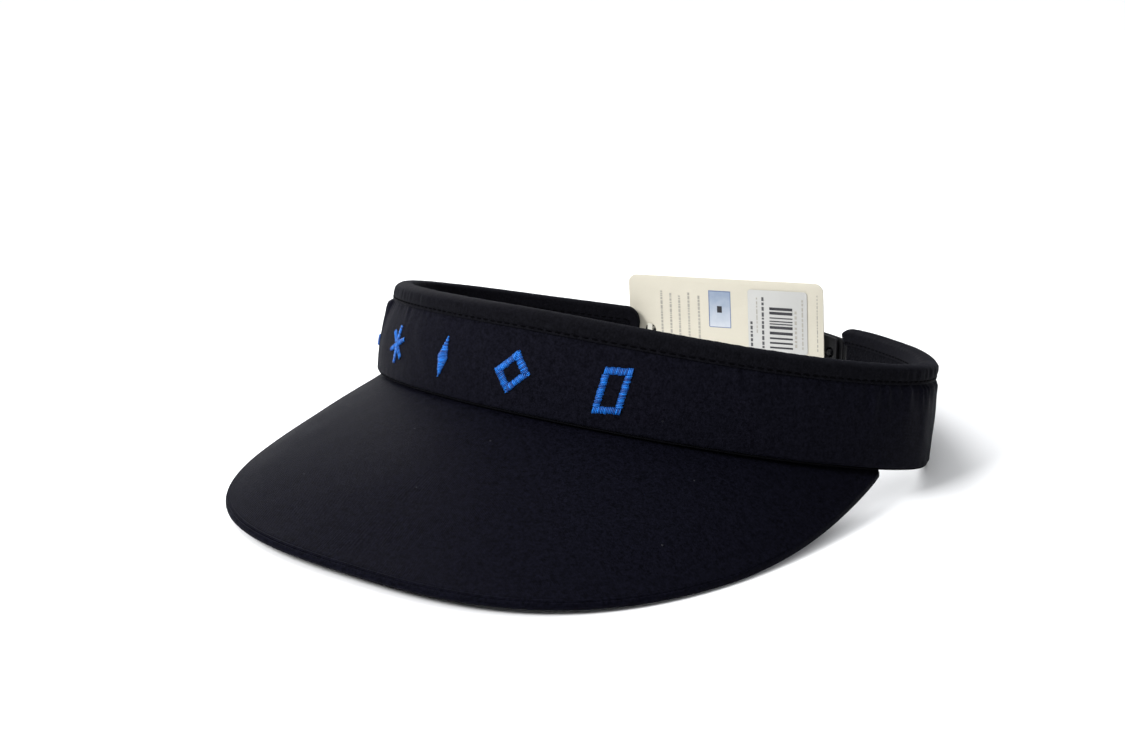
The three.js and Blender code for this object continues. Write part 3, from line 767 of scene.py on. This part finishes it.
class Nodes:
    """A small helper for building a material's node tree."""

    def __init__(self, name):
        self.mat = bpy.data.materials.new(name)
        self.mat.use_nodes = True
        self.tree = self.mat.node_tree
        self.bsdf = self.tree.nodes["Principled BSDF"]

    def new(self, kind, settings=None, **inputs):
        node = self.tree.nodes.new(kind)
        for k, v in (settings or {}).items():
            setattr(node, k, v)
        for k, v in inputs.items():
            self.set(node, k.replace("_", " "), v)
        return node

    def set(self, node, socket, value):
        """Sets or links an input by its name, or by its number when socket is i and a number."""
        numbered = socket[0] == "i" and socket[1:].isdigit()
        target = node.inputs[int(socket[1:]) if numbered else socket]
        if isinstance(value, bpy.types.NodeSocket):
            self.tree.links.new(value, target)
        else:
            target.default_value = value

    def math(self, kind, a, b=0.0):
        return self.new("ShaderNodeMath", {"operation": kind}, i0=a, i1=b).outputs[0]

    def scaled(self, value, factor, plus):
        """value times factor, plus plus."""
        settings = {"operation": "MULTIPLY_ADD"}
        return self.new("ShaderNodeMath", settings, i0=value, i1=factor, i2=plus).outputs[0]

    def mix(self, factor, a, b):
        node = self.new("ShaderNodeMix", {"data_type": "RGBA"})
        self.set(node, "i0", factor)
        self.set(node, "i6", a)
        self.set(node, "i7", b)
        return node.outputs[2]

    def ramp(self, value, low, high):
        node = self.new("ShaderNodeMapRange", {"clamp": True})
        for k, v in (("Value", value), ("From Min", low), ("From Max", high)):
            self.set(node, k, v)
        return node.outputs[0]

    def noise(self, vector, scale, detail=3.0, rough=0.55):
        node = self.new("ShaderNodeTexNoise", None, Scale=scale, Detail=detail, Roughness=rough)
        self.set(node, "Vector", vector)
        return node.outputs["Fac"]

    def object_place(self):
        return self.new("ShaderNodeTexCoord").outputs["Object"]

    def uv(self):
        node = self.new("ShaderNodeUVMap", {"uv_map": "cloth"})
        split = self.new("ShaderNodeSeparateXYZ", None, Vector=node.outputs[0])
        return node.outputs[0], split.outputs[0], split.outputs[1]

    def wave(self, coordinate, period, phase=0.0):
        """A sine of a length in millimetres, from 0 to 1."""
        turned = self.scaled(coordinate, 2 * math.pi / period, phase)
        return self.scaled(self.math("SINE", turned), 0.5, 0.5)

    def bump(self, height, strength, distance, normal=None):
        node = self.new("ShaderNodeBump", None, Strength=strength, Distance=distance, Height=height)
        if normal is not None:
            self.set(node, "Normal", normal)
        return node.outputs[0]

    def finish(self, **inputs):
        for k, v in inputs.items():
            self.set(self.bsdf, k.replace("_", " "), v)
        return self.mat


def cloth(name, dark, light, period, sheen, rough, lint=0.0, rib=False, coarse=0.25):
    """Woven or knitted cloth: a weave along the piece's own lengths, mottling, sheen and lint."""
    n = Nodes(name)
    _, u, v = n.uv()
    spot = n.object_place()
    mottle = n.noise(spot, 620, 3)
    grain = n.noise(spot, 1300, 2, 0.7)
    if rib:
        weave = n.wave(u, period)
        cross = n.wave(v, period * 0.8)
        height = n.scaled(cross, 0.35, weave)
    else:
        weave, cross = n.wave(u, period), n.wave(v, period, 1.1)
        odd = n.wave(n.math("ADD", u, v), period * 1.02)
        height = n.math("MULTIPLY", n.math("ADD", weave, cross), n.math("ADD", odd, 0.4))
    tone = n.ramp(n.scaled(grain, 1.6, mottle), 0.95, 1.65)
    colour = n.mix(tone, (*dark, 1), (*light, 1))
    if lint:
        cells = n.new(
            "ShaderNodeTexVoronoi", {"feature": "F1"}, Vector=spot, Scale=140.0, Randomness=1.0
        )
        pick = n.new("ShaderNodeSeparateColor", None, Color=cells.outputs["Color"]).outputs[0]
        near = n.math("LESS_THAN", cells.outputs["Distance"], 0.045)
        chosen = n.math("GREATER_THAN", pick, 0.86)
        fluff = n.math("MULTIPLY", n.math("MULTIPLY", near, chosen), lint)
        colour = n.mix(fluff, colour, LINT_COLOUR)
    fine = n.bump(height, 0.5, 0.00006)
    soft = n.bump(n.noise(spot, 420, 3), coarse, 0.00012, fine)
    return n.finish(
        Base_Color=colour, Roughness=rough, Normal=soft, Sheen_Weight=sheen, Sheen_Roughness=0.45,
        Sheen_Tint=SHEEN_TINT, Specular_IOR_Level=0.01,
    )


def towelling():
    n = Nodes("towelling")
    spot = n.object_place()
    loops = n.new(
        "ShaderNodeTexVoronoi", {"feature": "SMOOTH_F1"}, Vector=spot, Scale=1300.0, Smoothness=0.6
    )
    tufts = n.noise(spot, 500, 4, 0.65)
    tone = n.ramp(loops.outputs["Distance"], 0.1, 0.8)
    colour = n.mix(tone, (0.0046, 0.0046, 0.0060, 1), (0.0016, 0.0016, 0.0023, 1))
    first = n.bump(loops.outputs["Distance"], 0.9, 0.0004)
    return n.finish(
        Base_Color=colour, Roughness=0.95, Normal=n.bump(tufts, 0.6, 0.0005, first),
        Sheen_Weight=0.012, Sheen_Roughness=0.6, Sheen_Tint=SHEEN_TINT, Specular_IOR_Level=0.01,
    )


def thread_material(name, dark, light, rough, sheen, twist=0.9, spec=0.3, tone=False):
    """Thread with a fine twist. tone: the piece carries each thread's own shade, from 0 to 1, a
    random tone with painted shade towards each thread's ends.
    """
    n = Nodes(name)
    spot = n.object_place()
    fibre = n.noise(spot, 2600, 2, 0.7)
    if tone:
        # The tone attribute is each thread's random tone with painted shade darkening it towards its
        # ends.
        shade = n.new("ShaderNodeAttribute", {"attribute_name": "tone"}).outputs["Fac"]
        factor = n.ramp(n.scaled(fibre, 0.35, shade), 0.1, 1.2)
    else:
        patch = n.noise(spot, 160, 2)
        factor = n.ramp(n.scaled(fibre, 0.7, patch), 0.5, 1.15)
    colour = n.mix(factor, (*dark, 1), (*light, 1))
    return n.finish(
        Base_Color=colour, Roughness=rough, Normal=n.bump(fibre, twist, 0.00005),
        Sheen_Weight=sheen, Sheen_Roughness=0.3, Specular_IOR_Level=spec, Anisotropic=0.5,
    )


def plastic(name, colour, rough, spec=0.5):
    n = Nodes(name)
    spot = n.object_place()
    smudge = n.noise(spot, 120, 4)
    grain = n.noise(spot, 3500, 2)
    return n.finish(
        Base_Color=n.mix(smudge, (*colour, 1), (*[c * 1.7 + 0.001 for c in colour], 1)),
        Roughness=n.scaled(smudge, 0.22, rough - 0.1),
        Normal=n.bump(grain, 0.15, 0.00004), Specular_IOR_Level=spec)


def paper(name, colour, shade, rough=0.75):
    n = Nodes(name)
    spot = n.object_place()
    fibre = n.noise(spot, 900, 5, 0.7)
    cloud = n.noise(spot, 70, 3)
    tone = n.ramp(n.scaled(fibre, 0.4, cloud), 0.4, 1.0)
    return n.finish(
        Base_Color=n.mix(tone, (*shade, 1), (*colour, 1)), Roughness=rough,
        Normal=n.bump(fibre, 0.25, 0.00005), Specular_IOR_Level=0.25,
    )


def picture_ink():
    """A soft blue-grey picture block that fades upward."""
    n = Nodes("ink_picture")
    split = n.new("ShaderNodeSeparateXYZ", None, Vector=n.object_place())
    fade = n.ramp(split.outputs[2], 0.012, 0.028)
    cloud = n.noise(n.object_place(), 260, 3)
    tone = n.math("ADD", fade, n.math("MULTIPLY", n.math("SUBTRACT", cloud, 0.5), 0.6))
    colour = n.mix(tone, (0.56, 0.59, 0.63, 1), (0.25, 0.31, 0.41, 1))
    return n.finish(Base_Color=colour, Roughness=0.4)


def make_materials():
    """Every material by its name here. Colours are linear."""
    return {
        # band_cloth and brim_cloth are the same fabric. band_cloth is painted lighter, as painted
        # light that makes up for the weaker light on the upright band.
        "band_cloth": cloth(
            "band_cloth", dark=(0.0018, 0.0018, 0.0034), light=(0.0056, 0.0056, 0.0098),
            period=0.42, sheen=0.015, rough=0.6, lint=0.4,
        ),
        "brim_cloth": cloth(
            "brim_cloth", dark=(0.0008, 0.0008, 0.0019), light=(0.0039, 0.0039, 0.0080),
            period=0.42, sheen=0.015, rough=0.55, lint=0.9, coarse=0.2,
        ),
        "binding": cloth(
            "binding", dark=(0.0024, 0.0024, 0.0033), light=(0.0054, 0.0054, 0.0074),
            period=0.85, sheen=0.02, rough=0.7, lint=0.2, rib=True,
        ),
        "hem": cloth(
            "hem", dark=(0.0018, 0.0018, 0.0024), light=(0.0034, 0.0034, 0.0043),
            period=0.7, sheen=0.02, rough=0.8, rib=True,
        ),
        "sweat_cloth": towelling(),
        "stitching": thread_material(
            "stitching", dark=(0.0006, 0.0006, 0.0009), light=(0.0016, 0.0016, 0.0024),
            rough=0.8, sheen=0.0, spec=0.02,
        ),
        "embroidery": thread_material(
            "embroidery", dark=(0.0006, 0.022, 0.14), light=(0.004, 0.20, 0.75),
            rough=0.45, sheen=0.05, twist=1.0, tone=True,
        ),
        "strap_plastic": plastic("strap_plastic", (0.0022, 0.0022, 0.0028), rough=0.4, spec=0.2),
        "brim_board": plastic("brim_board", (0.03, 0.03, 0.035), rough=0.6),
        "core_foam": towelling(),
        "card": paper("card", (0.61, 0.575, 0.485), shade=(0.57, 0.54, 0.45)),
        "sticker": paper("sticker", (0.51, 0.51, 0.495), shade=(0.48, 0.48, 0.465), rough=0.5),
        "pin_plastic": plastic("pin_plastic", (0.42, 0.41, 0.36), rough=0.3),
        "ink_grey": paper("ink_grey", (0.30, 0.29, 0.26), shade=(0.44, 0.42, 0.37)),
        "ink_dark": paper("ink_dark", (0.06, 0.06, 0.065), shade=(0.10, 0.10, 0.105)),
        "ink_black": paper("ink_black", (0.02, 0.02, 0.024), shade=(0.05, 0.05, 0.055)),
        "ink_blue": paper("ink_blue", (0.10, 0.14, 0.26), shade=(0.20, 0.25, 0.38)),
        "ink_picture": picture_ink(),
    }


# ---- building the visible pieces ----------------------------------------------------------------
materials = make_materials()


def dress(obj, material, *nodes, body="visor", slot=None):
    """Gives obj its material and body, and lets it stand for the CAD nodes named. slot is not used.
    """
    obj.data.materials.clear()
    obj.data.materials.append(materials[material])
    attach(obj, body)
    if nodes:
        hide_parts(*nodes)
    return obj


shell = dress(band_shell(), "band_cloth", "band_shell")
lining = dress(sweatband(), "sweat_cloth", "sweatband")
dress(hem_tape(), "hem", "hem_tape", slot="binding")
dress(binding(), "binding", "top_binding")
dress(binding_stitches("stitches_outside", 0.62), "stitching", "binding_stitch")
dress(binding_stitches("stitches_inside", -5.12), "stitching")
for name, above, below, crease, node in (
    ("brim_cloth_top", 0, 0.4, 0.05, "brim_top_cover"),
    ("brim_cloth_under", 1.8, 2.2, 0.0, "brim_under_cover"),
):
    cover = dress(brim_layer(name, above, below, 1.0, crease), "brim_cloth", node)
dress(edge_bead(), "brim_cloth", "brim_edge_roll")
for piece in embroidery():
    dress(piece, "embroidery")
for node, name, width, material, body, slot in (
    ("hole_strap", "long_strap", 0.22, "strap_plastic", "visor", None),
    ("peg_strap_root", "short_strap_root", 0.22, "strap_plastic", "visor", None),
    ("peg_strap", "short_strap", 0.22, "strap_plastic", "snap_strap", None),
    ("tag_pin", "nylon_pin", 0.12, "pin_plastic", "visor", None),
    ("strap_anchor_patch", "anchor_patch", 0.25, "hem", "visor", "band_cloth"),
    ("tag_card", "card", 0.1, "card", "tag", None),
    ("price_sticker", "label", 0.04, "sticker", "tag", None),
):
    dress(softened(node, name, width), material, node, body=body, slot=slot)
ON_LABEL = "print_fine", "print_bold", "print_bars"
for piece, ink in card_printing():
    dress(piece, ink, body="tag", slot="sticker" if piece.name in ON_LABEL else "card")
for node, material in (
    ("band_foam", "core_foam"), ("elastic_left", "hem"), ("elastic_right", "hem"),
    ("brim_board", "brim_board"),
):
    frame["nodes"][node].data.materials.clear()
    frame["nodes"][node].data.materials.append(materials[material])

# ---- floor, light and camera --------------------------------------------------------------------


def floor():
    """A white floor that reaches past the horizon of every view, just under the part."""
    bpy.ops.mesh.primitive_plane_add(size=40, location=(0, 0, -0.0002))
    obj = bpy.context.object
    obj.name = "floor"
    n = Nodes("floor")
    n.finish(Base_Color=(0.93, 0.935, 0.945, 1), Roughness=0.9, Specular_IOR_Level=0.1)
    obj.data.materials.append(n.mat)


def sky():
    """Soft light, strongest overhead and weaker towards the horizon and towards +X."""
    world = bpy.data.worlds.new("world")
    bpy.context.scene.world = world
    world.use_nodes = True
    tree = world.node_tree
    background = tree.nodes["Background"]
    split = tree.nodes.new("ShaderNodeSeparateXYZ")
    tree.links.new(tree.nodes.new("ShaderNodeTexCoord").outputs["Generated"], split.inputs[0])
    strength = tree.nodes.new("ShaderNodeMath")
    strength.operation = "MULTIPLY"
    ramps = (2, "SMOOTHSTEP", (0.42, 0.9, 0.09, 1.6)), (0, "LINEAR", (-0.2, 0.9, 1.1, 0.25))
    for k, (axis, kind, limits) in enumerate(ramps):
        ramp = tree.nodes.new("ShaderNodeMapRange")
        ramp.interpolation_type = kind
        for name, value in zip(("From Min", "From Max", "To Min", "To Max"), limits):
            ramp.inputs[name].default_value = value
        tree.links.new(split.outputs[axis], ramp.inputs["Value"])
        tree.links.new(ramp.outputs[0], strength.inputs[k])
    tree.links.new(strength.outputs[0], background.inputs[1])
    background.inputs[0].default_value = (0.98, 0.99, 1.0, 1)


def sun_light(toward, strength, spread):
    """A sun in the direction toward, spread degrees wide."""
    data = bpy.data.lights.new("sun", "SUN")
    data.energy = strength
    data.angle = math.radians(spread)
    obj = linked("sun", data)
    obj.rotation_euler = Vector(toward).to_track_quat("Z", "Y").to_euler()


def area_light(name, place_at, aim, size, watts, colour=(1, 1, 1)):
    data = bpy.data.lights.new(name, "AREA")
    data.shape = "RECTANGLE"
    data.size, data.size_y = size
    data.energy = watts
    data.color = colour
    obj = linked(name, data)
    obj.location = place_at
    obj.rotation_euler = (Vector(aim) - Vector(place_at)).to_track_quat("-Z", "Y").to_euler()


def camera():
    """The photograph's view, from the front and towards +X, a little above the brim."""
    azimuth, elevation, distance = math.radians(34.9), math.radians(17.35), 0.6
    target = Vector(to_frame([-32.92, -7.37, 14.19]))
    level = math.cos(elevation)
    back = Vector((math.sin(azimuth) * level, -math.cos(azimuth) * level, math.sin(elevation)))
    data = bpy.data.cameras.new("camera")
    data.sensor_width = 36
    data.lens = 53.8144
    data.clip_start = 0.01
    obj = linked("camera", data)
    obj.location = target + back * distance
    obj.rotation_euler = (-back).to_track_quat("-Z", "Y").to_euler()
    bpy.context.scene.camera = obj


floor()
sky()
sun_light((-0.6, 0.12, 0.85), strength=1.05, spread=30)
area_light(
    "window", (-0.62, 0.42, 0.3), aim=(-0.06, -0.06, 0.02), size=(0.6, 0.35), watts=3.0,
    colour=(0.97, 0.98, 1.0),
)
area_light("left", (-0.24, -0.8, 0.62), aim=(0, 0, 0.03), size=(0.34, 0.34), watts=11)
bpy.context.scene.view_settings.view_transform = "Standard"
bpy.context.scene.view_settings.look = "None"
camera()
